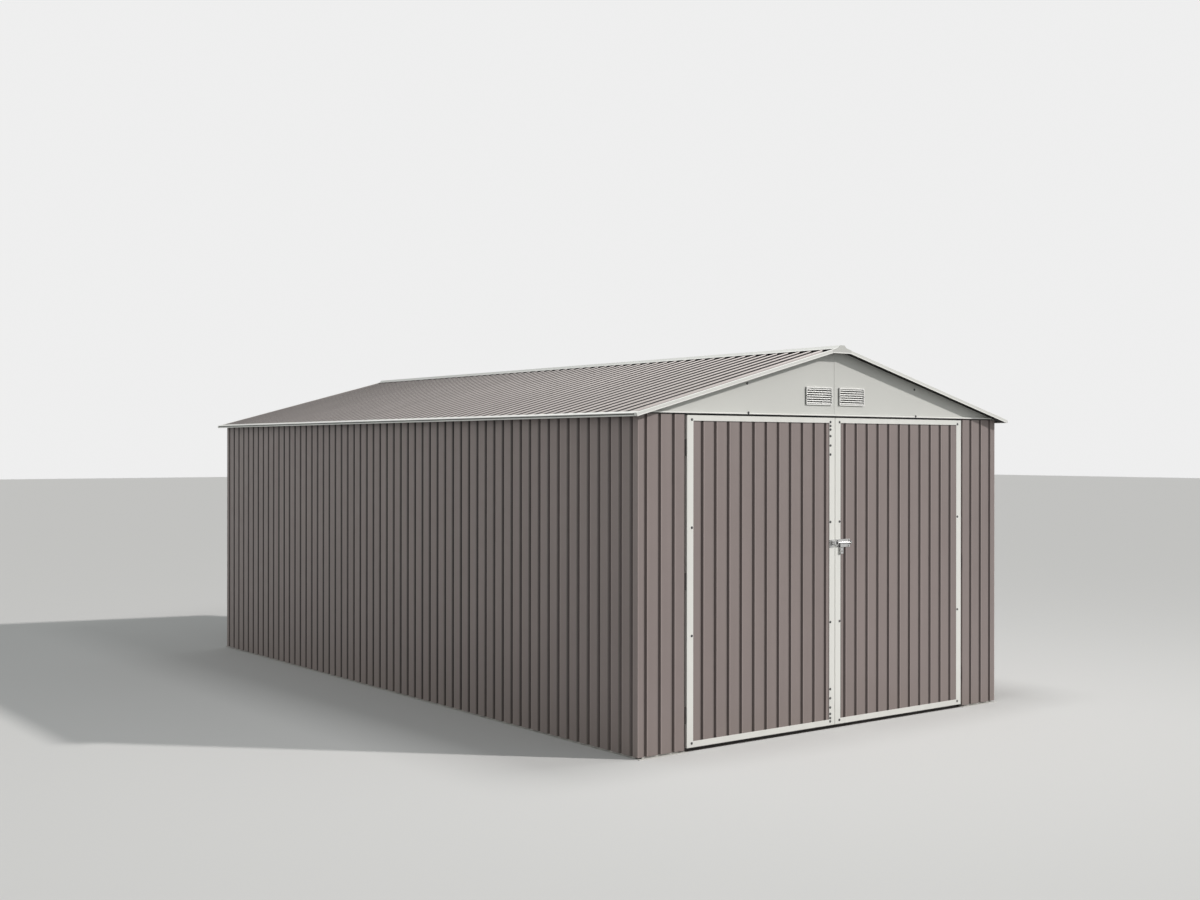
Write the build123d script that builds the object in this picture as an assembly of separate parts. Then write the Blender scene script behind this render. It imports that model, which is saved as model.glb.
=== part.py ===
# Metal garage: ribbed sheet walls, a low gable roof and a pair of hinged doors.
# Frame: +Z up, doors on the -Y side, +X to the right seen from the doors,
# origin on the ground below the middle of the roof. All sizes in millimetres.
from build123d import *
import math
import os

# Ribbed sheet: flat pans between narrow folds, which are grooves on the walls and stand up as ribs
# on the roof
RIB_PITCH = 105.0
GROOVE_MOUTH = 23.0
GROOVE_FLOOR = 9.0
GROOVE_DEPTH = 12.0
SHEET = 0.6
CORNER_MARGIN = 57.75
END_GROOVE_COUNT = 31
SIDE_GROOVE_COUNT = 57
SHEETS_PER_WALL = 3
LAP_GAP = 0.3

# Heights above the ground, and what lies below or above the eave
EAVE_HEIGHT = 2014.0
SHEET_BOTTOM = 10.0
MID_RAIL_Z = 980.0
SIDE_WALL_DROP = 9.0
TOP_RAIL_DROP = 69.0
POST_DROP = 24.0
GABLE_LIP_RISE = 7.0

# Roof
ROOF_SLOPE = 0.2668
SIDE_OVERHANG = 61.0
END_OVERHANG = 64.0
RIDGE_OPEN = 16.0
TRIM = 1.0
EAVE_FACE = 20.0
EAVE_FLANGE = 41.0
EAVE_RETURN = 6.0
EAVE_BEAD = 5.0
EAVE_BEAD_OUT = 3.0
RAKE_FACE = 20.5
RAKE_FLANGE = 22.0
RAKE_WRAP = 22.0
CAP_WING = 55.0
CAP_ROLL = 20.0
CAP_SHOULDER = 36.0
CAP_RISE = 13.0
END_CAP_HALF = 84.0
END_CAP_DROP = 42.0

# Frame sections: plain channels, corner angles and the base rail
CHANNEL = 40.0
CHANNEL_DEEP = 30.0
CHANNEL_WALL = 1.2
POST_LEG = 38.0
BASE_WALL = 1.5
BASE_OUT = 20.0
BASE_SIDE_OUT = 4.0
BASE_LIP = 6.0
BASE_IN = 40.0
BASE_UPRIGHT = 45.0
SILL_LIP = 14.0
SILL_FRONT = 2.0
BASE_END_GAP = 12.0
PURLINS_PER_SIDE = 2
RAFTER_COUNT = 3
TIE_DEEP = 15.0
RIDGE_BEAM_HALF = 40.0
RIDGE_BEAM_LEG = 45.0
TOUCH = 0.2
CUT_PAST = 1.0

# Gable lip and louvre vents
LIP_OUT = 12.0
LIP_DROP = 8.0
GABLE_SHEET = 1.0
VENT_WIDTH = 233.0
VENT_HEIGHT = 114.0
VENT_ABOVE_LIP = 69.0
VENT_FROM_SEAM = 34.0
VENT_PROUD = 9.0
VENT_RIM = 6.0
VENT_BLADES = 7
BLADE = 1.6
BLADE_RISE = 7.0
VENT_HOLE_RIM = 12.0
SEAM_COVER = 14.0
SEAM_PROUD = 1.3

# Doorway and doors
DOOR_INSET = 374.0
PANEL_GAP = 20.0
RUN_GAP = 5.0
DOOR_PROUD = 2.0
DOOR_DEEP = 28.0
DOOR_BOTTOM = 22.0
DOOR_TOP_GAP = 5.0
DOOR_WALL = 1.2
STILE = 49.0
TOP_RAIL = 33.0
BOTTOM_RAIL = 37.0
BACK_FLANGE = 30.0
DOOR_FIRST_GROOVE = 119.0
BRACE_COUNT = 2

# Hinges: a fixed leaf on the jamb, a moving leaf on the door edge
HINGE_COUNT = 3
HINGE_FROM_END = 194.0
HINGE_LEAF = 100.0
HINGE_PLATE = 1.0
KNUCKLE_RADIUS = 3.5
KNUCKLE_SIDES = 8
PIN_RADIUS = 2.0
PIN_PLAY = 0.4
KNUCKLE_LENGTH = 30.0
PIN_SETBACK = 5.0
PIN_DEPTH = 7.0

# Slide bolt on the right door, keeper on the left door
LATCH_Z = 1199.0
LATCH_PLATE_DOWN = 30.0
LATCH_PLATE_UP = 22.0
LATCH_FROM_MID = 8.0
LATCH_WIDTH = 130.0
LATCH_PLATE = 2.0
BOLT_RADIUS = 6.0
BOLT_PLAY = 0.4
BOLT_OUT = 8.0
BOLT_TIP = 4.0
GUIDE_WALL = 3.0
GUIDE_LENGTH = 7.0
TAB_FROM_MID = 38.0
TAB_WIDTH = 28.0
TAB_DROP = 72.0
TAB_THICK = 4.0
TAB_HOLE = 5.0
TAB_HOLE_DROPS = (32.0, 56.0)
KEEPER_FROM_MID = 9.0
KEEPER_WIDTH = 18.0
KEEPER_PLATE = 40.0
KEEPER_PLAY = 1.6

# Worked out from the sizes above
HALF_WIDTH = (END_GROOVE_COUNT - 1) * RIB_PITCH / 2 + CORNER_MARGIN
HALF_LENGTH = (SIDE_GROOVE_COUNT - 1) * RIB_PITCH / 2 + CORNER_MARGIN
FRAME_FACE = GROOVE_DEPTH + SHEET
SIDE_WALL_TOP = EAVE_HEIGHT - SIDE_WALL_DROP
END_WALL_TOP = EAVE_HEIGHT
GABLE_LIP_BOTTOM = END_WALL_TOP + GABLE_LIP_RISE
TOP_RAIL_Z = EAVE_HEIGHT - TOP_RAIL_DROP
POST_TOP = EAVE_HEIGHT - POST_DROP
VENT_BOTTOM = GABLE_LIP_BOTTOM + VENT_ABOVE_LIP
DOOR_TOP = END_WALL_TOP - DOOR_TOP_GAP
EAVE_X = HALF_WIDTH + SIDE_OVERHANG
ROOF_END_Y = HALF_LENGTH + END_OVERHANG
ANGLE = math.atan(ROOF_SLOPE)
COS, SIN = math.cos(ANGLE), math.sin(ANGLE)
UNDER_ROOF = (GROOVE_DEPTH + SHEET + LAP_GAP) / COS

FRONT_Y = -HALF_LENGTH
LEAF_EDGE = HALF_WIDTH - DOOR_INSET
LEAF_WIDTH = LEAF_EDGE - RUN_GAP / 2
LEAF_FRONT = FRONT_Y - DOOR_PROUD
PANEL_EDGE = DOOR_INSET - PANEL_GAP
JAMB_EDGE = DOOR_INSET - RUN_GAP
PIN_X = LEAF_EDGE + PIN_SETBACK
PIN_Y = LEAF_FRONT + PIN_DEPTH

LEFT_EAVE = Plane(origin=(-EAVE_X, 0, EAVE_HEIGHT), x_dir=(0, -1, 0), z_dir=(COS, 0, SIN))
UP_SLOPE = (EAVE_X - RIDGE_OPEN) / COS

nodes = {}


def box(x0, x1, y0, y1, z0, z1):
    """Solid block between two corners."""
    size = Box(x1 - x0, y1 - y0, z1 - z0, align=(Align.MIN, Align.MIN, Align.MIN))
    return size.moved(Location((x0, y0, z0)))


def bent_outline(path, thick):
    """Outline of sheet bent along a path, its thickness on the right hand of the path."""
    normals = []
    for (ax, ay), (bx, by) in zip(path, path[1:]):
        run = math.hypot(bx - ax, by - ay)
        normals.append(((by - ay) / run, (ax - bx) / run))
    far_side = []
    for index, (px, py) in enumerate(path):
        before = normals[max(index - 1, 0)]
        after = normals[min(index, len(normals) - 1)]
        spread = 1 + before[0] * after[0] + before[1] * after[1]
        shift_x = (before[0] + after[0]) * thick / spread
        shift_y = (before[1] + after[1]) * thick / spread
        far_side.append((px + shift_x, py + shift_y))
    return list(path) + far_side[::-1]


def run_out(outline, plane, length):
    """Extrude a closed outline drawn in a plane along the plane's normal."""
    face = make_face(Polyline(*outline, close=True))
    return extrude(plane * face, amount=length, dir=plane.z_dir)


def bent(path, thick, plane, length):
    """Folded sheet-metal member."""
    return run_out(bent_outline(path, thick), plane, length)


def along_x(x0):
    """Drawing plane with Y across and Z up, for members that run along +X."""
    return Plane(origin=(x0, 0, 0), x_dir=(0, 1, 0), z_dir=(1, 0, 0))


def along_y(y0):
    """Drawing plane with -X across and Z up, for members that run along +Y."""
    return Plane(origin=(0, y0, 0), x_dir=(-1, 0, 0), z_dir=(0, 1, 0))


def upright(z0):
    """Drawing plane with X across and Y away, for members that run up."""
    return Plane(origin=(0, 0, z0), x_dir=(1, 0, 0), z_dir=(0, 0, 1))


def roof_z(x):
    """Height of the roof's outer plane at a distance from the middle."""
    return EAVE_HEIGHT + (EAVE_X - abs(x)) * ROOF_SLOPE


def evenly(low, high, count):
    """Places that divide a length into equal bays."""
    return [low + (high - low) * (index + 1) / (count + 1) for index in range(count)]


def slope_box(u0, u1, n0, n1, y0, y1):
    """Block laid on the left slope: u runs up from the eave tip, n is the height off the plane."""
    block = box(u0, u1, y0, y1, n0, n1)
    tilt = Plane(origin=(-EAVE_X, 0, EAVE_HEIGHT), x_dir=(COS, 0, SIN), z_dir=(-SIN, 0, COS))
    return tilt * block


def other_side(solids):
    """The same pieces on the right side of the garage."""
    return [solid.mirror(Plane.YZ) for solid in solids]


def other_end(solids):
    """The same pieces at the back end of the garage."""
    return [solid.mirror(Plane.XZ) for solid in solids]


def node(name, *solids):
    """Keep the solids of one named piece."""
    nodes[name] = list(solids)


# Ribbed sheets


def ribbed_path(start, end, first, count, raised=False):
    """Face line of a ribbed sheet: flats with grooves, or with raised ribs, at the given centres."""
    flat, fold = (GROOVE_DEPTH, 0) if raised else (0, GROOVE_DEPTH)
    path = [(start, flat)]
    for index in range(count):
        centre = first + index * RIB_PITCH
        path.append((centre - GROOVE_MOUTH / 2, flat))
        path.append((centre - GROOVE_FLOOR / 2, fold))
        path.append((centre + GROOVE_FLOOR / 2, fold))
        path.append((centre + GROOVE_MOUTH / 2, flat))
    path.append((end, flat))
    return path


def rake_seat(edge, inwards):
    """Points of a roof sheet's end, which steps up from the last pan to carry the rake trim."""
    step = (GROOVE_MOUTH - GROOVE_FLOOR) / 2
    seat = edge + inwards * RAKE_FLANGE
    return [(edge, 0), (seat, 0), (seat + inwards * step, GROOVE_DEPTH)]


def sheet_row(half, folds, end_gap, plane, length, overhang=0, raised=False):
    """A wall or roof side as butted sheets, each with whole pans and its share of folds."""
    first_fold = -(folds - 1) * RIB_PITCH / 2
    row = []
    for index in range(SHEETS_PER_WALL):
        done = round(index * folds / SHEETS_PER_WALL)
        upto = round((index + 1) * folds / SHEETS_PER_WALL)
        start = first_fold + (done - 0.5) * RIB_PITCH + LAP_GAP / 2
        end = first_fold + (upto - 0.5) * RIB_PITCH - LAP_GAP / 2
        if index == 0:
            start = -half - overhang + end_gap
        if index == SHEETS_PER_WALL - 1:
            end = half + overhang - end_gap
        path = ribbed_path(start, end, first_fold + done * RIB_PITCH, upto - done, raised)
        if raised and index == 0:
            path = rake_seat(start, 1) + path[1:]
        if raised and index == SHEETS_PER_WALL - 1:
            path = path[:-1] + rake_seat(end, -1)[::-1]
        row.append(bent(path[::-1], SHEET, plane, length))
    return row


def walls():
    """Side walls, back wall and the narrow panels beside the doorway."""
    left_face = Plane(origin=(-HALF_WIDTH, 0, SHEET_BOTTOM), x_dir=(0, -1, 0), z_dir=(0, 0, 1))
    side_height = SIDE_WALL_TOP - SHEET_BOTTOM
    side = sheet_row(HALF_LENGTH, SIDE_GROOVE_COUNT, 0, left_face, side_height)
    node("left_wall", *side)
    node("right_wall", *other_side(side))

    face = Plane(origin=(0, FRONT_Y, SHEET_BOTTOM), x_dir=(1, 0, 0), z_dir=(0, 0, 1))
    height = END_WALL_TOP - SHEET_BOTTOM
    end_row = sheet_row(HALF_WIDTH, END_GROOVE_COUNT, SHEET + LAP_GAP, face, height)
    node("back_wall", *other_end(end_row))

    room = PANEL_EDGE - CORNER_MARGIN - GROOVE_MOUTH / 2
    count = int(room // RIB_PITCH) + 1
    start = -HALF_WIDTH + SHEET + LAP_GAP
    path = ribbed_path(start, -HALF_WIDTH + PANEL_EDGE, -HALF_WIDTH + CORNER_MARGIN, count)
    path.append((-HALF_WIDTH + PANEL_EDGE, GROOVE_DEPTH))
    panel = bent(path[::-1], SHEET, face, height)
    node("front_panel_left", panel)
    node("front_panel_right", *other_side([panel]))


# Base, posts and rails


def base():
    """Rails on the ground under the walls, and the flat sill across the doorway."""
    edge = HALF_WIDTH + BASE_SIDE_OUT
    inner = HALF_WIDTH - BASE_IN
    stand_x = HALF_WIDTH - FRAME_FACE
    far = HALF_LENGTH - BASE_IN - TOUCH
    side = box(-edge, -inner, -far, far, 0, BASE_WALL)
    side += box(-stand_x, CHANNEL_WALL - stand_x, -far, far, 0, BASE_UPRIGHT)
    node("side_base_rails", side, *other_side([side]))

    stand_end = inner - TOUCH
    whole = end_rail(-edge, edge, -stand_end, stand_end)
    node("back_base_rail", *other_end([whole]))

    jamb_x = -HALF_WIDTH + JAMB_EDGE
    stub = end_rail(-edge, jamb_x, -stand_end, jamb_x - CHANNEL - BASE_END_GAP)
    node("front_base_rails", stub, *other_side([stub]))

    back = FRONT_Y + BASE_IN
    sill_path = [(back, SILL_LIP), (back, 0), (FRONT_Y + SILL_FRONT, 0)]
    sill = bent(sill_path, BASE_WALL, along_x(jamb_x + TOUCH), -2 * (jamb_x + TOUCH))
    node("door_sill", sill)


def end_rail(start, end, stand_start, stand_end):
    """Base rail across an end: a foot with a turned-up front edge, and an upright leg."""
    front = FRONT_Y - BASE_OUT
    stand = FRONT_Y + FRAME_FACE
    rail = box(start, end, front, FRONT_Y + BASE_IN, 0, BASE_WALL)
    rail += box(start, end, front, front + BASE_WALL, 0, BASE_LIP)
    rail += box(stand_start, stand_end, stand, stand + CHANNEL_WALL, 0, BASE_UPRIGHT)
    return rail


def corner_posts():
    """Angle posts inside the four corners."""
    x, y = -HALF_WIDTH + SHEET, FRONT_Y + SHEET
    low = BASE_UPRIGHT + TOUCH
    path = [(x, y + POST_LEG), (x, y), (x + POST_LEG, y)]
    post = bent(path[::-1], CHANNEL_WALL, upright(low), POST_TOP - low)
    pair = [post] + other_side([post])
    node("corner_posts", *pair, *other_end(pair))


def channel_path(near, far, low, high):
    """Open channel: flanges from near to far, with the web at far."""
    path = [(near, low), (far, low), (far, high), (near, high)]
    return path if far < near else path[::-1]


def wall_rails():
    """Channels inside the walls at the top and at mid height."""
    near = HALF_WIDTH - FRAME_FACE
    far = near - CHANNEL_DEEP
    end = HALF_LENGTH - FRAME_FACE - TOUCH
    high_path = channel_path(near, far, TOP_RAIL_Z, TOP_RAIL_Z + CHANNEL)
    top = bent(high_path, CHANNEL_WALL, along_y(-end), 2 * end)
    node("side_top_rails", top, *other_side([top]))

    end_x = HALF_WIDTH - FRAME_FACE - CHANNEL_DEEP - TOUCH
    mid_path = channel_path(near, far, MID_RAIL_Z, MID_RAIL_Z + CHANNEL)
    side = bent(mid_path, CHANNEL_WALL, along_y(-end), 2 * end)
    back_near, back_far = FRONT_Y + FRAME_FACE, FRONT_Y + FRAME_FACE + CHANNEL_DEEP
    back_path = channel_path(back_near, back_far, MID_RAIL_Z, MID_RAIL_Z + CHANNEL)
    back = bent(back_path, CHANNEL_WALL, along_x(-end_x), 2 * end_x)
    node("mid_rails", side, *other_side([side]), *other_end([back]))

    lip_near = FRONT_Y + GABLE_SHEET
    low = END_WALL_TOP + TOUCH
    head_path = channel_path(lip_near, lip_near + CHANNEL_DEEP, low, low + CHANNEL)
    head_x = HALF_WIDTH - FRAME_FACE
    header = bent(head_path, CHANNEL_WALL, along_x(-head_x), 2 * head_x)
    room = slope_box(0, UP_SLOPE, -UNDER_ROOF * COS, CHANNEL, FRONT_Y, lip_near + 2 * CHANNEL_DEEP)
    header = header - room - room.mirror(Plane.YZ)
    node("door_header", header)
    node("back_header", *other_end([header]))


def door_jambs():
    """Channel posts either side of the doorway, with the closed side to the doors."""
    edge = -HALF_WIDTH + JAMB_EDGE
    near = FRONT_Y + FRAME_FACE
    far = near + CHANNEL_DEEP
    path = [(edge - CHANNEL, near), (edge, near), (edge, far), (edge - CHANNEL, far)]
    jamb = bent(path[::-1], CHANNEL_WALL, upright(BASE_WALL), END_WALL_TOP - BASE_WALL)
    node("door_jambs", jamb, *other_side([jamb]))


# Roof frame


def roof_frame():
    """Ridge beam, purlins under the sheets, and rafters with ties under the purlins."""
    under = GROOVE_DEPTH + SHEET
    ridge_z = roof_z(0) - under / COS
    wing_z = roof_z(RIDGE_BEAM_HALF) - under / COS
    end = HALF_LENGTH - GABLE_SHEET - TOUCH
    leg_z = wing_z - RIDGE_BEAM_LEG
    half = RIDGE_BEAM_HALF
    path = [(half, leg_z), (half, wing_z), (0, ridge_z), (-half, wing_z), (-half, leg_z)]
    node("ridge_beam", bent(path[::-1], CHANNEL_WALL, along_y(-end), 2 * end))

    purlins = []
    for middle in evenly(0, UP_SLOPE, PURLINS_PER_SIDE):
        u0 = middle - CHANNEL / 2
        origin = (-EAVE_X, -end, EAVE_HEIGHT)
        plane = Plane(origin=origin, x_dir=(-COS, 0, -SIN), z_dir=(0, 1, 0))
        path = [(-u0 - CHANNEL, -under - CHANNEL_DEEP), (-u0 - CHANNEL, -under)]
        path += [(-u0, -under), (-u0, -under - CHANNEL_DEEP)]
        purlins.append(bent(path, CHANNEL_WALL, plane, 2 * end))
    node("purlins", *purlins, *other_side(purlins))

    rafters, ties = [], []
    low_x = HALF_WIDTH - FRAME_FACE - CHANNEL_DEEP - TOUCH
    high_x = half + TOUCH
    top_n = -under - CHANNEL_DEEP - TOUCH
    for middle in evenly(-HALF_LENGTH, HALF_LENGTH, RAFTER_COUNT):
        y = middle - CHANNEL / 2
        long_bar = slope_box(0, UP_SLOPE, top_n - CHANNEL_DEEP, top_n, y, y + CHANNEL)
        hollow = slope_box(
            -CUT_PAST, UP_SLOPE + CUT_PAST, top_n - CHANNEL_DEEP - CUT_PAST,
            top_n - CHANNEL_WALL, y + CHANNEL_WALL, y + CHANNEL - CHANNEL_WALL,
        )
        span = box(-low_x, -high_x, y, y + CHANNEL, 0, roof_z(0))
        rafters.append((long_bar - hollow) & span)
        tie_top = TOP_RAIL_Z + TIE_DEEP
        tie_path = [(y, TOP_RAIL_Z), (y, tie_top)]
        tie_path += [(y + CHANNEL, tie_top), (y + CHANNEL, TOP_RAIL_Z)]
        ties.append(bent(tie_path, CHANNEL_WALL, along_x(-low_x), 2 * low_x))
    node("rafters", *rafters, *other_side(rafters))
    node("cross_ties", *ties)


# Roof covering and trims


def roof_sheets():
    """Sheets with raised ribs from eave to ridge on both slopes."""
    side = sheet_row(HALF_LENGTH, SIDE_GROOVE_COUNT, 0, LEFT_EAVE, UP_SLOPE, END_OVERHANG, True)
    node("roof_left", *side)
    node("roof_right", *other_side(side))


def ridge_cap():
    """Ridge cap with a raised middle, and the plates that close its two ends."""
    lift = 2 * TRIM / COS
    top = roof_z(CAP_ROLL) + lift + CAP_RISE
    rising = [
        (-CAP_WING, roof_z(CAP_WING) + lift),
        (-CAP_SHOULDER, roof_z(CAP_SHOULDER) + lift),
        (-CAP_ROLL, top),
    ]
    path = rising + [(-x, z) for x, z in rising[::-1]]
    cap = bent(path, TRIM, along_y(-ROOF_END_Y), 2 * ROOF_END_Y)
    node("ridge_cap", cap)

    wide = END_CAP_HALF
    flat = roof_z(0) - END_CAP_DROP
    outline = [(-wide, flat), (wide, flat)]
    outline += [(x, z) for x, z in path[::-1] if abs(x) < wide]
    outline.insert(2, (wide, roof_z(wide) + lift))
    outline.append((-wide, roof_z(wide) + lift))
    front = -ROOF_END_Y - 2 * TRIM - TOUCH
    plate = run_out(outline, along_y(front), TRIM)
    node("ridge_end_caps", plate, *other_end([plate]))


def eave_trims():
    """Angle along each eave: a face with a bead at its top and foot, and a flange on the sheets."""
    end = ROOF_END_Y - RAKE_FLANGE - TOUCH
    x = EAVE_X + TRIM
    z = EAVE_HEIGHT + TRIM / COS
    bead = x + EAVE_BEAD_OUT
    path = [
        (x - EAVE_RETURN, z - EAVE_FACE),
        (bead, z - EAVE_FACE),
        (bead, z - EAVE_FACE + EAVE_BEAD),
        (x, z - EAVE_FACE + EAVE_BEAD),
        (x, z - EAVE_BEAD),
        (bead, z - EAVE_BEAD),
        (bead, z - (TRIM + EAVE_BEAD_OUT) * ROOF_SLOPE),
        (x - EAVE_FLANGE * COS, z + (EAVE_FLANGE * COS - TRIM) * ROOF_SLOPE),
    ]
    plane = Plane(origin=(0, end, 0), x_dir=(1, 0, 0), z_dir=(0, -1, 0))
    trim = bent(path[::-1], TRIM, plane, 2 * end)
    node("eave_trim_right", trim)
    node("eave_trim_left", *other_side([trim]))


def rake_trims():
    """Angle up each sloping edge, wrapped round the eave corner at its low end."""
    plane = Plane(origin=LEFT_EAVE.origin, x_dir=(0, -1, 0), z_dir=LEFT_EAVE.z_dir)
    edge = ROOF_END_Y + TRIM
    path = [(edge, RAKE_FACE), (edge, -TRIM), (edge - RAKE_FLANGE, -TRIM)]
    trim = bent(path, TRIM, plane, EAVE_X / COS + RAKE_FLANGE)
    half_roof = box(-EAVE_X - TRIM, -LAP_GAP, -edge, edge, 0, roof_z(0) + RAKE_FLANGE)
    trim = trim & half_roof
    low = EAVE_HEIGHT + TRIM - EAVE_FACE
    trim += box(-EAVE_X - TRIM, -EAVE_X, -edge, -edge + RAKE_WRAP, low, EAVE_HEIGHT + TRIM)
    pair = [trim] + other_side([trim])
    node("front_rake_trims", *pair)
    node("back_rake_trims", *other_end(pair))


# Gable ends and vents


def vent_spans():
    """Left and right edge of the vent in the left half of a gable."""
    return -VENT_FROM_SEAM - VENT_WIDTH, -VENT_FROM_SEAM


def gable_half():
    """Left half of a gable: flat sheet under the roof, a folded lip and a vent hole."""
    y = FRONT_Y
    top = roof_z(0) - UNDER_ROOF
    low = GABLE_LIP_BOTTOM + LIP_DROP
    lip_top = low + GABLE_SHEET
    left = -(top - lip_top) / ROOF_SLOPE
    cut_x = RIDGE_BEAM_HALF / 4
    outline = [(left, low), (-LAP_GAP / 2, low), (-LAP_GAP / 2, top - cut_x * ROOF_SLOPE)]
    outline += [(-cut_x, top - cut_x * ROOF_SLOPE), (left, lip_top)]
    face = Plane(origin=(0, y + GABLE_SHEET, 0), x_dir=(1, 0, 0), z_dir=(0, -1, 0))
    sheet = run_out(outline, face, GABLE_SHEET)
    lip_path = [(y + GABLE_SHEET, lip_top), (y - LIP_OUT, lip_top), (y - LIP_OUT, GABLE_LIP_BOTTOM)]
    lip = bent(lip_path[::-1], GABLE_SHEET, along_x(left), -LAP_GAP / 2 - left)
    vent_left, vent_right = vent_spans()
    hole = box(
        vent_left + VENT_HOLE_RIM, vent_right - VENT_HOLE_RIM,
        y - CUT_PAST, y + GABLE_SHEET + CUT_PAST,
        VENT_BOTTOM + VENT_HOLE_RIM, VENT_BOTTOM + VENT_HEIGHT - VENT_HOLE_RIM,
    )
    return sheet + lip - hole


def louvre_vent():
    """Pressed louvre vent: a rim with a row of sloping blades, open behind."""
    left, right = vent_spans()
    low, high = VENT_BOTTOM, VENT_BOTTOM + VENT_HEIGHT
    back = FRONT_Y - TOUCH / 2
    front = back - VENT_PROUD
    rim = box(left, right, front, back, low, high)
    rim -= box(
        left + VENT_RIM, right - VENT_RIM, front - CUT_PAST, back + CUT_PAST,
        low + VENT_RIM, high - VENT_RIM,
    )
    step = (VENT_HEIGHT - 2 * VENT_RIM) / VENT_BLADES
    hold = VENT_RIM / 2
    for index in range(VENT_BLADES):
        z = low + VENT_RIM + (index + 0.5) * step - BLADE_RISE / 2
        path = [(front, z), (back - BLADE, z + BLADE_RISE)]
        rim += bent(path, BLADE, along_x(left + hold), VENT_WIDTH - 2 * hold)
    return rim


def seam_cover():
    """Narrow folded strip over the joint between the two halves of a gable."""
    half = SEAM_COVER / 2
    back = FRONT_Y - TOUCH / 2
    front = back - SEAM_PROUD
    low = GABLE_LIP_BOTTOM + LIP_DROP + GABLE_SHEET + TOUCH
    high = roof_z(half) - UNDER_ROOF
    path = [(-half, back), (-half, front), (half, front), (half, back)]
    return bent(path[::-1], GABLE_SHEET, upright(low), high - low)


def gables():
    """Both gable ends, each as two sheets with a seam cover and two vents."""
    half = gable_half()
    sheets = [half] + other_side([half]) + [seam_cover()]
    node("front_gable", *sheets)
    node("back_gable", *other_end(sheets))

    vent = louvre_vent()
    vents = [vent] + other_side([vent])
    node("front_vents", *vents)
    node("back_vents", *other_end(vents))


# Doors


def leaf_stiles():
    """Outer and inner upright channels of the left door."""
    outer = -LEAF_EDGE
    inner = outer + LEAF_WIDTH
    front, back = LEAF_FRONT, LEAF_FRONT + DOOR_DEEP
    height = DOOR_TOP - DOOR_BOTTOM
    plane = upright(DOOR_BOTTOM)
    outer_path = [(outer + STILE, front), (outer, front), (outer, back), (outer + BACK_FLANGE, back)]
    inner_path = [(inner - BACK_FLANGE, back), (inner, back), (inner, front), (inner - STILE, front)]
    return [bent(path, DOOR_WALL, plane, height) for path in (outer_path, inner_path)]


def leaf_rails():
    """Top and bottom channels of the left door, between the stiles."""
    front, back = LEAF_FRONT, LEAF_FRONT + DOOR_DEEP
    start = -LEAF_EDGE + STILE + TOUCH
    length = LEAF_WIDTH - 2 * (STILE + TOUCH)
    plane = along_x(start)
    top_path = [(front, DOOR_TOP - TOP_RAIL), (front, DOOR_TOP), (back, DOOR_TOP)]
    top_path += [(back, DOOR_TOP - BACK_FLANGE)]
    low_path = [(back, DOOR_BOTTOM + BACK_FLANGE), (back, DOOR_BOTTOM), (front, DOOR_BOTTOM)]
    low_path += [(front, DOOR_BOTTOM + BOTTOM_RAIL)]
    return [bent(path, DOOR_WALL, plane, length) for path in (top_path, low_path)]


def leaf_panel():
    """Ribbed sheet of the left door, held inside the channels."""
    clear = DOOR_WALL + LAP_GAP
    start = -LEAF_EDGE + clear
    end = -LEAF_EDGE + LEAF_WIDTH - clear
    room = LEAF_WIDTH - DOOR_FIRST_GROOVE - STILE - GROOVE_MOUTH / 2
    count = int(room // RIB_PITCH) + 1
    low, high = DOOR_BOTTOM + clear, DOOR_TOP - clear
    plane = Plane(origin=(0, LEAF_FRONT + DOOR_WALL, low), x_dir=(1, 0, 0), z_dir=(0, 0, 1))
    first = -LEAF_EDGE + DOOR_FIRST_GROOVE
    path = ribbed_path(start, end, first, count)
    return bent(path[::-1], SHEET, plane, high - low)


def leaf_braces():
    """Two channels across the back of the left door, from stile to stile."""
    near = LEAF_FRONT + DOOR_WALL + FRAME_FACE
    far = LEAF_FRONT + DOOR_DEEP - DOOR_WALL - TOUCH
    clear = DOOR_WALL + LAP_GAP
    braces = []
    for z in evenly(DOOR_BOTTOM, DOOR_TOP, BRACE_COUNT):
        path = channel_path(near, far, z - CHANNEL / 2, z + CHANNEL / 2)
        plane = along_x(-LEAF_EDGE + clear)
        braces.append(bent(path, DOOR_WALL, plane, LEAF_WIDTH - 2 * clear))
    return braces


def rod(radius, length, centre, axis):
    """Round bar from a point along an axis."""
    plane = Plane(origin=centre, z_dir=axis)
    return extrude(plane * Circle(radius), amount=length, dir=axis)


def knuckle(radius, low, high):
    """Upright bar of a few sides on the hinge line of the left door."""
    plane = Plane(origin=(-PIN_X, PIN_Y, low))
    return extrude(plane * RegularPolygon(radius, KNUCKLE_SIDES), amount=high - low)


def hinge_heights():
    """Middle heights of the hinges on one door."""
    low, high = DOOR_BOTTOM + HINGE_FROM_END, DOOR_TOP - HINGE_FROM_END
    step = (high - low) / (HINGE_COUNT - 1)
    return [low + index * step for index in range(HINGE_COUNT)]


def hinge_fixed(z):
    """Leaf on the left jamb with two knuckles and the pin."""
    jamb_face = FRONT_Y + FRAME_FACE
    low, high = z - HINGE_LEAF / 2, z + HINGE_LEAF / 2
    left = -HALF_WIDTH + PANEL_EDGE + SHEET
    bend = -PIN_X - KNUCKLE_RADIUS
    leaf = box(left, bend + HINGE_PLATE, jamb_face - HINGE_PLATE, jamb_face, low, high)
    gap = KNUCKLE_LENGTH / 2 + PIN_PLAY
    for start, end in ((low, z - gap), (z + gap, high)):
        leaf += box(bend, bend + HINGE_PLATE, PIN_Y, jamb_face, start, end)
        leaf += knuckle(KNUCKLE_RADIUS, start, end)
    leaf += rod(PIN_RADIUS, HINGE_LEAF, (-PIN_X, PIN_Y, low), (0, 0, 1))
    return leaf


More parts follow.
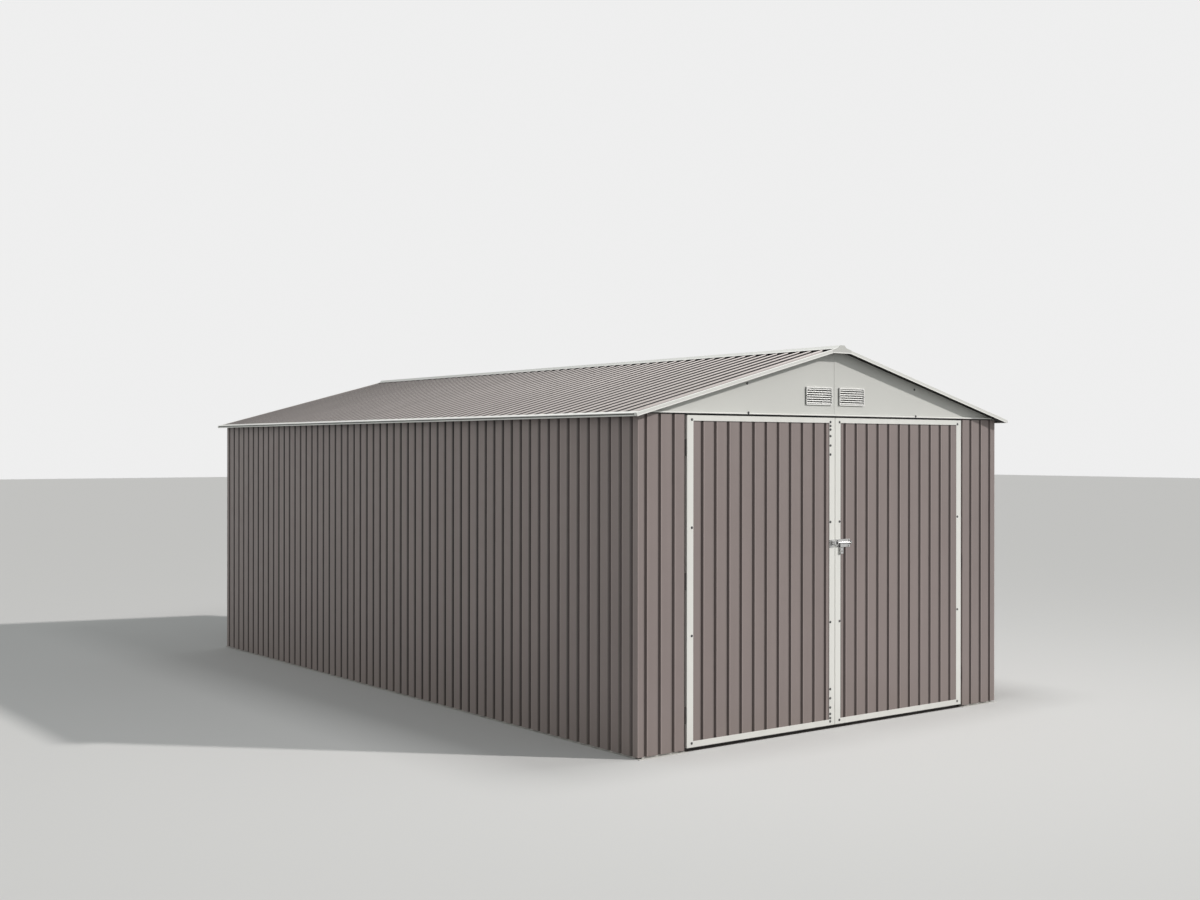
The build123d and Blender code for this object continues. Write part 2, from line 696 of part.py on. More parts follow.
def hinge_moving(z):
    """Leaf on the edge of the left door with the middle knuckle."""
    low, high = z - KNUCKLE_LENGTH / 2, z + KNUCKLE_LENGTH / 2
    edge = -LEAF_EDGE - TOUCH / 2
    plate_front = PIN_Y + KNUCKLE_RADIUS
    plate_back = LEAF_FRONT + DOOR_DEEP - DOOR_WALL
    plate_low, plate_high = z - HINGE_LEAF / 2, z + HINGE_LEAF / 2
    knuckle_side = -PIN_X + KNUCKLE_RADIUS - HINGE_PLATE
    leaf = box(edge - HINGE_PLATE, edge, plate_front, plate_back, plate_low, plate_high)
    leaf += box(edge - HINGE_PLATE, edge, PIN_Y, plate_front, low, high)
    leaf += box(knuckle_side, edge, PIN_Y, PIN_Y + HINGE_PLATE, low, high)
    leaf += knuckle(KNUCKLE_RADIUS, low, high)
    return leaf - knuckle(PIN_RADIUS + PIN_PLAY, low - CUT_PAST, high + CUT_PAST)


def doors():
    """Both leaves as mirror images, with their hinges."""
    parts = {
        "door_stiles": leaf_stiles(),
        "door_rails": leaf_rails(),
        "door_panel": [leaf_panel()],
        "door_braces": leaf_braces(),
        "door_hinges": [hinge_moving(z) for z in hinge_heights()],
    }
    for name, solids in parts.items():
        node("left_" + name, *solids)
        node("right_" + name, *other_side(solids))
    fixed = [hinge_fixed(z) for z in hinge_heights()]
    node("jamb_hinges", *fixed, *other_side(fixed))


# Slide bolt


def latch_plate():
    """Back plate on the right door with two guides for the bolt."""
    back = LEAF_FRONT
    front = back - LATCH_PLATE
    right = LATCH_FROM_MID + LATCH_WIDTH
    low, high = LATCH_Z - LATCH_PLATE_DOWN, LATCH_Z + LATCH_PLATE_UP
    plate = box(LATCH_FROM_MID, right, front, back, low, high)
    axis_y = front - BOLT_OUT
    hug = BOLT_RADIUS + BOLT_PLAY + GUIDE_WALL
    for x in (LATCH_FROM_MID, right - GUIDE_LENGTH):
        plate += box(x, x + GUIDE_LENGTH, axis_y - hug, front, LATCH_Z - hug, LATCH_Z + hug)
    start = (LATCH_FROM_MID - CUT_PAST, axis_y, LATCH_Z)
    bore = rod(BOLT_RADIUS + BOLT_PLAY, LATCH_WIDTH + 2 * CUT_PAST, start, (1, 0, 0))
    return plate - bore


def latch_bolt():
    """Round bolt with a flat tab that hangs from it and takes a padlock."""
    axis_y = LEAF_FRONT - LATCH_PLATE - BOLT_OUT
    length = LATCH_WIDTH + LATCH_FROM_MID - BOLT_TIP
    bolt = rod(BOLT_RADIUS, length, (BOLT_TIP, axis_y, LATCH_Z), (1, 0, 0))
    front = axis_y - TAB_THICK / 2
    low = LATCH_Z - TAB_DROP
    bolt += box(TAB_FROM_MID, TAB_FROM_MID + TAB_WIDTH, front, front + TAB_THICK, low, LATCH_Z)
    centre = TAB_FROM_MID + TAB_WIDTH / 2
    for drop in TAB_HOLE_DROPS:
        start = (centre, front - CUT_PAST, LATCH_Z - drop)
        bolt -= rod(TAB_HOLE, TAB_THICK + 2 * CUT_PAST, start, (0, 1, 0))
    return bolt


def latch_keeper():
    """Staple on the left door that takes the end of the bolt."""
    back = LEAF_FRONT
    front = back - LATCH_PLATE
    right = -KEEPER_FROM_MID
    low, high = LATCH_Z - LATCH_PLATE_DOWN, LATCH_Z + LATCH_PLATE_UP
    plate = box(right - KEEPER_PLATE, right, front, back, low, high)
    axis_y = front - BOLT_OUT
    hug = BOLT_RADIUS + KEEPER_PLAY
    outer = hug + GUIDE_WALL
    x0, x1 = right - KEEPER_WIDTH, right
    staple = box(x0, x1, axis_y - outer, front, LATCH_Z - outer, LATCH_Z + outer)
    staple -= box(
        x0 - CUT_PAST, x1 + CUT_PAST, axis_y - hug, front, LATCH_Z - hug, LATCH_Z + hug
    )
    return plate + staple


def latch():
    """Plate, bolt and keeper of the slide bolt."""
    node("latch_plate", latch_plate())
    node("latch_bolt", latch_bolt())
    node("latch_keeper", latch_keeper())


def write_nodes():
    """Write each piece to its own STEP file."""
    os.makedirs("parts", exist_ok=True)
    for name, solids in nodes.items():
        single = []
        for solid in solids:
            single += solid.solids()
        export_step(Compound(single), "parts/" + name + ".step")


base()
corner_posts()
walls()
wall_rails()
door_jambs()
roof_frame()
roof_sheets()
ridge_cap()
eave_trims()
rake_trims()
gables()
doors()
latch()
write_nodes()
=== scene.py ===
# Metal garage: finishes, fasteners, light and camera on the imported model.
# Frame: metres, +Z up, doors on the -Y side, origin on the ground below the middle of the roof.
import bpy
import bmesh
import math
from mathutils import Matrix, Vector


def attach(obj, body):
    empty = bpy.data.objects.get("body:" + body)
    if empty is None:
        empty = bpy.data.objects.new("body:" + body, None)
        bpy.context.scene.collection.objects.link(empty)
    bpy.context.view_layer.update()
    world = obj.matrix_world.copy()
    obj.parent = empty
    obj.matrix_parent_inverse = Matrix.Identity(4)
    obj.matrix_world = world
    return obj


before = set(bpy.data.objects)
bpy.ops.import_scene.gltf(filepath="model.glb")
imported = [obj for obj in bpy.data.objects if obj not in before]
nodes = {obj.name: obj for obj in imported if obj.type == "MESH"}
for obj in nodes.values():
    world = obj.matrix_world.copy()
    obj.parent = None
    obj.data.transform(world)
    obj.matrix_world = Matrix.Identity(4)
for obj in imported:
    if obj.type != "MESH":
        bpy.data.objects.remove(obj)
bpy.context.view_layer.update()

FRONT, BACK = (0.0, -1.0, 0.0), (0.0, 1.0, 0.0)
LEFT, RIGHT = (-1.0, 0.0, 0.0), (1.0, 0.0, 0.0)
UP, DOWN = (0.0, 0.0, 1.0), (0.0, 0.0, -1.0)

# Camera, fitted to the corners and rib lines of the photograph
CAMERA_PLACE = (-6.88186, -9.58088, 1.80258)
CAMERA_TURN = (math.radians(89.9802), math.radians(-0.0576), math.radians(-37.0696))
LENS = 43.496
SENSOR = 36.0
CLIP_END = 500.0

# Light: a soft sun from the front right, an even sky and a soft box over the front of the roof
TOWARDS_SUN = (0.612, -0.614, 0.499)
SUN_STRENGTH = 2.45
SUN_COLOUR = (1.0, 0.965, 0.945)
SUN_WIDTH = math.radians(2)
SOFT_BOX_PLACE = (0.3, -2.9, 7.0)
SOFT_BOX_SIZE = 1.6
SOFT_BOX_POWER = 150.0
SKY_LOW = (0.68, 0.70, 0.68)
SKY_HIGH = (0.30, 0.31, 0.32)
BACKGROUND = (0.86, 0.86, 0.86)
FLOOR_SEEN = (0.66, 0.66, 0.65)
FLOOR_BOUNCE = (0.34, 0.34, 0.33)
FLOOR_ROUGH = 0.9
FLOOR_HALF = 80.0

# Finishes, linear colours
TAUPE = (0.247, 0.204, 0.195)
ROOF_TAUPE = (0.330, 0.306, 0.296)
BACK_COAT = (0.52, 0.52, 0.49)
GABLE_WHITE = (0.66, 0.665, 0.635)
# Painted highlight on the gable's folded lip and along the foot of the roof-end trims
EDGE_HIGHLIGHT_WHITE = (0.88, 0.88, 0.85)
TRIM_WHITE = (0.80, 0.80, 0.765)
# Painted shade on the upright faces of the rake trims and ridge end caps
RAKE_FACE_SHADE = (0.70, 0.705, 0.675)
CAP_FACE_SHADE = (0.55, 0.555, 0.53)
# Painted shade on the face of the eave trims between their beads
EAVE_FACE_SHADE = (0.07, 0.075, 0.07)
# Painted shade on faces under overhangs, caps and trims
UNDERSIDE_SHADE = (0.03, 0.029, 0.028)
VENT_WHITE = (0.94, 0.94, 0.92)
# Painted shade on the vents' side faces and downward faces
VENT_SHADE = (0.10, 0.10, 0.095)
# Painted shade: the door jambs, sill and header are painted near black where they lie in shade
JAMB_SHADE = (0.05, 0.045, 0.045)
BASE_PALE = (0.62, 0.61, 0.58)
SOIL = (0.20, 0.165, 0.13)
ZINC = (0.56, 0.57, 0.58)
HINGE_ZINC = (0.13, 0.125, 0.12)
BRIGHT_ZINC = (0.66, 0.66, 0.655)
# Painted shade on the latch's faces that look down or sideways
LATCH_SHADE = (0.10, 0.10, 0.10)
SCREW_HEAD = (0.14, 0.14, 0.145)
RUBBER = (0.03, 0.03, 0.03)

# Satin of the paints: (scale of the roughness noise, least and greatest roughness, specular level)
WALL_SATIN = (14.0, 0.40, 0.50, 0.5)
ROOF_SATIN = (14.0, 0.60, 0.72, 0.06)
TRIM_SATIN = (18.0, 0.36, 0.46, 0.45)
GABLE_SATIN = (18.0, 0.38, 0.48, 0.4)
VENT_SATIN = (40.0, 0.36, 0.46, 0.4)

# Mottling: (scale of the noise, least and greatest value, detail where it isn't the usual one)
NOISE_DETAIL = 3.0
SHEET_CLOUDS = (0.9, 0.96, 1.04)
SHEET_GRAIN = (260.0, 0.985, 1.015, 1.0)
TRIM_CLOUDS = (1.3, 0.975, 1.02)
GABLE_CLOUDS = (1.3, 0.98, 1.02)
VENT_CLOUDS = (9.0, 0.97, 1.03)
EAVE_CLOUDS = (1.3, 0.95, 1.05)
ZINC_CLOUDS = (3.0, 0.94, 1.05)
ZINC_ROUGH_CLOUDS = (30.0, -0.04, 0.04)
PLATED_CLOUDS = (60.0, 0.93, 1.05, 2.0)
RUBBER_CLOUDS = (500.0, 0.8, 1.3, 2.0)
RUBBER_ROUGH = (200.0, 0.6, 0.75, 2.0)

# Rain streaks: scales of the noise along the axes, and the least and greatest factor
WALL_STREAK = (14.0, 14.0, 0.55)
ROOF_STREAK = (0.8, 12.0, 0.8)
TRIM_STREAK = (16.0, 16.0, 1.2)
SHEET_STREAK_TONES = (0.965, 1.035)
TRIM_STREAK_TONES = (0.98, 1.015)

# Relief: (scale of the noise, detail, height)
SHEET_WAVES = (2.2, 1.0, 0.004)
ORANGE_PEEL = (600.0, 1.0, 0.00005)
ZINC_RELIEF = (300.0, 2.0, 0.0001)
RUBBER_RELIEF = (900.0, 1.0, 0.0001)

# Crystal patches in the zinc of the frame, read as the even mean of each patch's colour
SPANGLE_SCALE = 55.0
SPANGLE_MEAN = (0.34, 0.33, 0.33)
SPANGLE_TONES = (0.88, 1.1)
SPANGLE_ROUGH = (0.36, 0.50)
ZINC_METALLIC = 0.9

# Plated steel: (scales of the drawing marks along the axes, their least and greatest factor, least
# and greatest roughness, depth of the marks, share of metal)
HINGE_PLATING = ((40.0, 40.0, 900.0), (0.9, 1.06), (0.40, 0.53), 0.00006, 0.5)
SCREW_PLATING = ((300.0, 300.0, 300.0), (0.9, 1.06), (0.35, 0.48), 0.00006, 0.7)
LATCH_PLATING = ((50.0, 2400.0, 2400.0), (0.92, 1.05), (0.2, 0.34), 0.00004, 0.9)

# Least share of a face's normal along a direction, for the face to count as looking there
FACING = 0.5
FACING_BACK_COAT = 0.05
FACING_UNDER_BLADE = 0.9
FACING_LATCH_SIDE = 0.7
# Upward share of the normal between which the painted shade on the latch's lower faces fades
LATCH_UNDERSIDES = (-0.6, -0.1)

# The building's own sizes: corners, ribs and the slope of the roof
CORNER_X = 1.63275
END_WALL_Y = 2.99775
RIB_PITCH = 0.105
DOOR_RIB_SHIFT = 0.01525
LAST_SIDE_GROOVE = 2.94
LAST_END_GROOVE = 1.575
LAST_RIB = 2.9445
ROOF_SLOPE = 0.2668
SLOPE_LENGTH = math.hypot(1.0, ROOF_SLOPE)
ROOF_LEFT = (-ROOF_SLOPE / SLOPE_LENGTH, 0.0, 1.0 / SLOPE_LENGTH)
ROOF_RIGHT = (ROOF_SLOPE / SLOPE_LENGTH, 0.0, 1.0 / SLOPE_LENGTH)

# Wall and door grooves, in metres across a groove from its middle. Dust and painted shade are
# (darkest factor, where they start to fade in, where they are darkest); beyond its edge the lip of
# the groove carries a painted highlight.
END_GROOVE_DUST_AND_SHADE = (0.62, -0.023, 0.000)
SIDE_GROOVE_DUST_AND_SHADE = (0.08, -0.027, -0.007)
# On the side walls the grooves' dust and painted shade is held lighter towards the front end:
SIDE_DUST_AND_SHADE_FRONT = 0.48    # least factor at the front end of a side wall, none at its middle
GROOVE_HALF = 0.0115
GROOVE_EDGE = (GROOVE_HALF - 0.001, GROOVE_HALF + 0.001)
LIP_MIDDLE = GROOVE_HALF + 0.004
LIP_HALF = (0.002, 0.004)
GROOVE_LIP_HIGHLIGHT = 1.3

# Painted light: the side walls are painted lighter all over, and the flat strips at the corners of
# the end walls carry a painted highlight
SIDE_PAINTED_LIGHT = 1.22
CORNER_STRIP = (CORNER_X - 0.007, CORNER_X - 0.005)
CORNER_HIGHLIGHT = 1.3

# Soil near the ground; its edge is (the two heights it fades between, scale and height of waves)
WALL_SOIL = 0.14
WALL_SOIL_EDGE = (0.02, 0.30, 5.0, 0.1)
DOOR_FRAME_SOIL = 0.08
BASE_SOIL = 0.1
TRIM_SOIL_EDGE = (0.0, 0.22, 7.0, 0.08)

# Painted shadow on a door panel below its top rail and beside the middle stile
RAIL_BOTTOM = 1.976
STILE_SIDE = 0.0517
UNDER_RAIL = (RAIL_BOTTOM - 0.008, RAIL_BOTTOM - 0.005)
BESIDE_STILE = (STILE_SIDE + 0.004, STILE_SIDE + 0.008)
FRAME_SHADOW = 0.4

# Roof sheets: factors on the pans, in the painted shade and dirt at the ribs' front feet and in
# the painted highlights on the rib tops, and where they meet, in metres across a rib from its
# middle
ROOF_PAN_SHADE = 0.9
ROOF_FOOT_SHADE = 0.12
RIB_TOP_HIGHLIGHT = 1.22
RIDGE_TOP_HIGHLIGHT = 1.65
PAN_TO_FOOT = (-0.034, -0.022)
FOOT_TO_TOP = (-0.0095, -0.0083)
TOP_TO_PAN = (0.0045, 0.0060)
# The painted shade and dirt at the ribs' feet climb higher near the ridge, where the tops' painted
# highlight is stronger
RIDGE_SHADE_RISE = 0.0016       # how much higher the dirt climbs at the ridge
RIDGE_FADE = (0.15, 1.1)
# Painted light along the roof: lighter at the front end, darker at the back end
ROOF_FRONT_LIGHT = 1.20
ROOF_BACK_SHADE = 0.50
# Painted shade in the gaps under the ridge cap: how far out from the ridge, and how deep below the
# rib tops
CAP_EDGE = 0.064
CAP_GAP_DEPTH = 0.002

# Gables and the trims along the roof's edges
GABLE_LIP_TOP = 2.0295
GABLE_PEAK = 2.42
GABLE_PEAK_SHADE = 0.87
RAKE_FOOT = 2.4447
CAP_FOOT = 2.4239
VERGE_BEAD = 0.006
EAVE_BEAD = 0.0012
EAVE_FOOT = 0.0085


class Net:
    """The nodes of a new material or world. Values go in as numbers, colours or sockets."""

    def __init__(self, owner):
        self.owner = owner
        owner.use_nodes = True
        self.tree = owner.node_tree
        self.tree.nodes.clear()
        coordinates = self.node("ShaderNodeTexCoord").outputs
        self.place = coordinates["Object"]
        self.facing = coordinates["Normal"]
        self.direction = coordinates["Generated"]

    def put(self, socket, value):
        if isinstance(value, bpy.types.NodeSocket):
            self.tree.links.new(value, socket)
        elif value is not None:
            socket.default_value = value

    def node(self, kind, *inputs, **settings):
        made = self.tree.nodes.new(kind)
        for key, value in settings.items():
            setattr(made, key, value)
        for socket, value in zip(made.inputs, inputs):
            self.put(socket, value)
        return made

    def math(self, operation, *values):
        return self.node("ShaderNodeMath", *values, operation=operation).outputs[0]

    def size(self, value):
        return self.math("ABSOLUTE", value)

    def dot(self, vector, direction):
        made = self.node("ShaderNodeVectorMath", vector, direction, operation="DOT_PRODUCT")
        return made.outputs["Value"]

    def looks(self, direction, least=FACING):
        """1 on faces that look along a direction."""
        return self.math("GREATER_THAN", self.dot(self.facing, direction), least)

    def looks_either_way(self, direction, least=FACING):
        """1 on faces that look along a direction or against it."""
        return self.math("GREATER_THAN", self.size(self.dot(self.facing, direction)), least)

    def remap(self, value, low, high, to_low, to_high):
        made = self.node("ShaderNodeMapRange", value, low, high, to_low, to_high)
        return made.outputs[0]

    def noise(self, vector, scale, detail=NOISE_DETAIL):
        made = self.node("ShaderNodeTexNoise")
        self.put(made.inputs["Vector"], vector)
        self.put(made.inputs["Scale"], scale)
        self.put(made.inputs["Detail"], detail)
        return made.outputs[0]

    def streaks(self, scales):
        """Noise with its own scale along each axis."""
        made = self.node("ShaderNodeVectorMath", self.place, scales, operation="MULTIPLY")
        return self.noise(made.outputs["Vector"], 1.0)

    def spread(self, noise, least, greatest):
        """Noise, which lies mostly between 0.3 and 0.7, over another range."""
        return self.remap(noise, 0.3, 0.7, least, greatest)

    def mottled(self, scale, least, greatest, detail=NOISE_DETAIL):
        return self.spread(self.noise(self.place, scale, detail), least, greatest)

    def mix(self, factor, a, b):
        made = self.node("ShaderNodeMix", data_type="RGBA")
        self.put(made.inputs["Factor"], factor)
        self.put(made.inputs[6], rgba(a))
        self.put(made.inputs[7], rgba(b))
        return made.outputs[2]

    def shaded(self, colour, *factors):
        """The colour times each factor."""
        for factor in factors:
            made = self.node("ShaderNodeVectorMath", colour, operation="SCALE")
            self.put(made.inputs["Scale"], factor)
            colour = made.outputs["Vector"]
        return colour

    def bump(self, height, distance, normal=None):
        made = self.node("ShaderNodeBump")
        self.put(made.inputs["Height"], height)
        self.put(made.inputs["Distance"], distance)
        self.put(made.inputs["Normal"], normal)
        return made.outputs[0]

    def relief(self, scale, detail, distance, normal=None):
        return self.bump(self.noise(self.place, scale, detail), distance, normal)

    def surface(self, colour, roughness, normal=None, metallic=0.0, specular=0.5):
        shader = self.node("ShaderNodeBsdfPrincipled")
        self.put(shader.inputs["Base Color"], rgba(colour))
        self.put(shader.inputs["Roughness"], roughness)
        self.put(shader.inputs["Metallic"], metallic)
        self.put(shader.inputs["Specular IOR Level"], specular)
        self.put(shader.inputs["Normal"], normal)
        self.node("ShaderNodeOutputMaterial", shader.outputs[0])
        return self.owner


def material_net(name):
    return Net(bpy.data.materials.new(name))


def rgba(colour):
    """A colour of three numbers gets its fourth; a socket stays as it is."""
    return (*colour, 1.0) if isinstance(colour, tuple) else colour


def outermost(node, direction):
    """How far a node reaches along a direction."""
    reach = Vector(direction)
    return max(reach.dot(v.co) for v in nodes[node].data.vertices)


def depth_of(net, node, outward):
    """Depth below the outermost plane of a node."""
    return net.math("SUBTRACT", outermost(node, outward), net.dot(net.place, outward))


def past_fold(net, along):
    """Signed distance from the middle of the nearest groove or rib."""
    return net.math("WRAP", along, RIB_PITCH / 2, -RIB_PITCH / 2)


def satin(net, colour, finish):
    """Satin paint of a colour, with orange peel and the slight waves of thin sheet."""
    scale, least, greatest, specular = finish
    peel = net.relief(*ORANGE_PEEL, net.relief(*SHEET_WAVES))
    return net.surface(colour, net.mottled(scale, least, greatest), peel, specular=specular)


def two_sided(net, outside, inside, outward, finish):
    """Paint on the outward faces of a sheet and its back coat on the others."""
    turned = net.math("LESS_THAN", net.dot(net.facing, outward), -FACING_BACK_COAT)
    return satin(net, net.mix(turned, outside, inside), finish)


def weathered(net, colour, streak):
    """Clouds, rain streaks and a fine grain in a sheet's paint."""
    streaks = net.spread(net.streaks(streak), *SHEET_STREAK_TONES)
    return net.shaded(colour, net.mottled(*SHEET_CLOUDS), streaks, net.mottled(*SHEET_GRAIN))


def soiled(net, colour, share, edge):
    """Soil over a colour near the ground, fading out at a wavy edge."""
    fade_from, fade_to, scale, waves = edge
    reach = net.math("ADD", net.dot(net.place, UP), net.mottled(scale, -waves, waves))
    return net.mix(net.remap(reach, fade_from, fade_to, share, 0.0), colour, SOIL)


def groove_shade(net, across, shift, last_groove, dust):
    """Factor for grooves: dust and painted shade fade in on one side and end at a painted
    highlight on the lip on the other.
    """
    shade, fade_from, fade_to = dust
    along = net.math("SUBTRACT", net.dot(net.place, across), shift)
    past = past_fold(net, along)
    # Dust and painted shade fade in across each groove; its lip gets a painted highlight.
    fading = net.remap(past, fade_from, fade_to, 1.0, shade)
    ending = net.remap(past, *GROOVE_EDGE, shade, 1.0)
    off_lip = net.size(net.math("SUBTRACT", past, LIP_MIDDLE))
    lip = net.remap(off_lip, *LIP_HALF, GROOVE_LIP_HIGHLIGHT, 1.0)
    darkened = net.math("MULTIPLY", net.math("MAXIMUM", fading, ending), lip)
    beyond = net.math("GREATER_THAN", net.size(along), last_groove + RIB_PITCH / 2)
    return net.math("MAXIMUM", darkened, beyond)


def frame_shade(net):
    """Factor for the painted shadow on a door panel below its top rail and beside the middle
    stile.
    """
    under_rail = net.remap(net.dot(net.place, UP), *UNDER_RAIL, 1.0, FRAME_SHADOW)
    off_middle = net.size(net.dot(net.place, RIGHT))
    by_stile = net.remap(off_middle, *BESIDE_STILE, FRAME_SHADOW, 1.0)
    return net.math("MINIMUM", under_rail, by_stile)


def wall_paint(node, outward, across, shift, last_groove):
    """Satin paint on a ribbed wall or door sheet: dust and painted shade in the grooves, painted
    light on lips, corners and side walls, painted shadow by door frames, soil at the foot.
    """
    net = material_net(node + "_paint")
    # The grooves carry dust and painted shade, lighter towards a side wall's front end.
    if outward in (LEFT, RIGHT):
        grooves = groove_shade(net, across, shift, last_groove, SIDE_GROOVE_DUST_AND_SHADE)
        lighter_to_front = net.remap(net.dot(net.place, BACK), -END_WALL_Y, 0.0, SIDE_DUST_AND_SHADE_FRONT, 0.0)
        grooves = net.math("MAXIMUM", grooves, lighter_to_front)
        # The whole side wall is painted lighter.
        lightened = SIDE_PAINTED_LIGHT
    else:
        grooves = groove_shade(net, across, shift, last_groove, END_GROOVE_DUST_AND_SHADE)
        off_middle = net.size(net.dot(net.place, RIGHT))
        # A painted highlight on the flat strip at each corner.
        lightened = net.remap(off_middle, *CORNER_STRIP, 1.0, CORNER_HIGHLIGHT)
    outside = net.shaded(weathered(net, TAUPE, WALL_STREAK), grooves)
    outside = net.shaded(soiled(net, outside, WALL_SOIL, WALL_SOIL_EDGE), lightened)
    # A door panel gets a painted shadow under its top rail and beside the middle stile.
    if node.endswith("door_panel"):
        outside = net.shaded(outside, frame_shade(net))
    inside = weathered(net, BACK_COAT, WALL_STREAK)
    return two_sided(net, outside, inside, outward, WALL_SATIN)


def roof_paint(node, outward):
    """Satin paint on a roof sheet: painted highlights on the rib tops, painted shade and dirt at
    the ribs' front feet, lighter towards the front end, painted shade under the cap and overhangs.
    """
    net = material_net(node + "_paint")
    along = net.dot(net.place, BACK)
    past = past_fold(net, along)
    off_middle = net.size(net.dot(net.place, RIGHT))
    # Near the ridge the painted shade climbs higher and the rib tops' painted highlight is
    # stronger.
    near_ridge = net.remap(off_middle, *RIDGE_FADE, 1.0, 0.0)
    lightened = net.remap(near_ridge, 0.0, 1.0, RIB_TOP_HIGHLIGHT, RIDGE_TOP_HIGHLIGHT)
    climbed = net.math("SUBTRACT", past, net.math("MULTIPLY", near_ridge, RIDGE_SHADE_RISE))
    # Painted shade and dirt at each rib's front foot, a painted highlight on its top.
    pan = net.remap(past, *PAN_TO_FOOT, ROOF_PAN_SHADE, ROOF_FOOT_SHADE)
    front = net.remap(climbed, *FOOT_TO_TOP, ROOF_FOOT_SHADE, lightened)
    rear = net.remap(past, *TOP_TO_PAN, lightened, ROOF_PAN_SHADE)
    past_ribs = net.math("GREATER_THAN", net.size(along), LAST_RIB)
    ribs = net.math("MAXIMUM", pan, net.math("MINIMUM", front, rear))
    ribs = net.math("MAXIMUM", past_ribs, ribs)
    # Painted light: the roof is lighter at the front end and darker at the back end.
    front_to_back_light = net.remap(along, -END_WALL_Y, END_WALL_Y, ROOF_FRONT_LIGHT, ROOF_BACK_SHADE)
    outside = net.shaded(weathered(net, ROOF_TAUPE, ROOF_STREAK), ribs, front_to_back_light)
    # Painted shade in the gaps under the ridge cap.
    under_cap = net.math("LESS_THAN", off_middle, CAP_EDGE)
    sunk = net.math("GREATER_THAN", depth_of(net, node, outward), CAP_GAP_DEPTH)
    outside = net.mix(net.math("MULTIPLY", under_cap, sunk), outside, UNDERSIDE_SHADE)
    # Painted shade on the undersides of the overhangs beyond the walls.
    past_end = net.math("GREATER_THAN", net.size(along), END_WALL_Y)
    past_side = net.math("GREATER_THAN", off_middle, CORNER_X)
    inside = weathered(net, BACK_COAT, ROOF_STREAK)
    inside = net.mix(net.math("MAXIMUM", past_end, past_side), inside, UNDERSIDE_SHADE)
    return two_sided(net, outside, inside, outward, ROOF_SATIN)


def trim_paint(name, colour, soil=0.0, underside=False):
    """Satin paint on a folded trim, with faint streaks, soil towards the ground and, if asked,
    painted shade on the faces looking down.
    """
    net = material_net(name)
    streaks = net.spread(net.streaks(TRIM_STREAK), *TRIM_STREAK_TONES)
    shade = net.shaded(colour, net.mottled(*TRIM_CLOUDS), streaks)
    if soil:
        shade = soiled(net, shade, soil, TRIM_SOIL_EDGE)
    # Faces looking down get painted shade.
    if underside:
        shade = net.mix(net.looks(DOWN), shade, UNDERSIDE_SHADE)
    return satin(net, shade, TRIM_SATIN)


def verge_paint(name, face, slope, foot):
    """Trim white on a trim at the roof's end, with painted shade on its upright face, a painted
    highlight along its foot and painted shade on faces looking down.
    """
    net = material_net(name)
    fall = net.math("MULTIPLY", net.size(net.dot(net.place, RIGHT)), slope)
    height = net.math("ADD", net.dot(net.place, UP), fall)
    # Painted shade on the upright face, with a painted highlight along its foot.
    bead = net.math("LESS_THAN", height, foot + VERGE_BEAD)
    upright = net.mix(bead, face, EDGE_HIGHLIGHT_WHITE)
    shade = net.mix(net.looks_either_way(FRONT), TRIM_WHITE, upright)
    shade = net.shaded(shade, net.mottled(*TRIM_CLOUDS))
    return satin(net, net.mix(net.looks(DOWN), shade, UNDERSIDE_SHADE), TRIM_SATIN)


def gable_paint():
    """Gable white, with a painted highlight on the folded lip along the foot and painted shade
    towards the peak.
    """
    net = material_net("gable_paint")
    height = net.dot(net.place, UP)
    # Painted shade darkens the gable towards its peak; the lip gets a painted highlight.
    peak_shade = net.remap(height, GABLE_LIP_TOP, GABLE_PEAK, 1.0, GABLE_PEAK_SHADE)
    lip = net.math("LESS_THAN", height, GABLE_LIP_TOP)
    shade = net.mix(lip, GABLE_WHITE, EDGE_HIGHLIGHT_WHITE)
    return satin(net, net.shaded(shade, net.mottled(*GABLE_CLOUDS), peak_shade), GABLE_SATIN)


def vent_paint():
    """Vent white, with painted shade on the side faces and the downward faces of the rim and
    blades.
    """
    net = material_net("vent_paint")
    below = net.looks(DOWN, FACING_UNDER_BLADE)
    darkened = net.math("MAXIMUM", below, net.looks_either_way(RIGHT))
    clean = net.shaded(VENT_WHITE, net.mottled(*VENT_CLOUDS))
    return satin(net, net.mix(darkened, clean, VENT_SHADE), VENT_SATIN)


def eave_paint(node, outward):
    """Trim white on the beads of an eave trim, painted shade on the face between them and on faces
    looking down.
    """
    net = material_net(node + "_paint")
    outer = net.math("LESS_THAN", depth_of(net, node, outward), EAVE_BEAD)
    foot = -outermost(node, DOWN) + EAVE_FOOT
    lower = net.math("LESS_THAN", net.dot(net.place, UP), foot)
    bead = net.math("MAXIMUM", net.math("MAXIMUM", net.looks(UP), outer), lower)
    shade = net.shaded(net.mix(bead, EAVE_FACE_SHADE, TRIM_WHITE), net.mottled(*EAVE_CLOUDS))
    return satin(net, net.mix(net.looks(DOWN), shade, UNDERSIDE_SHADE), GABLE_SATIN)


def frame_zinc():
    """Zinc-coated steel with crystal patches."""
    net = material_net("frame_zinc")
    cells = net.node("ShaderNodeTexVoronoi")
    net.put(cells.inputs["Vector"], net.place)
    net.put(cells.inputs["Scale"], SPANGLE_SCALE)
    tone = net.dot(cells.outputs["Color"], SPANGLE_MEAN)
    tones = net.remap(tone, 0.0, 1.0, *SPANGLE_TONES)
    rough = net.remap(tone, 0.0, 1.0, *SPANGLE_ROUGH)
    rough = net.math("ADD", rough, net.mottled(*ZINC_ROUGH_CLOUDS))
    shade = net.shaded(ZINC, tones, net.mottled(*ZINC_CLOUDS))
    return net.surface(shade, rough, net.relief(*ZINC_RELIEF), metallic=ZINC_METALLIC)


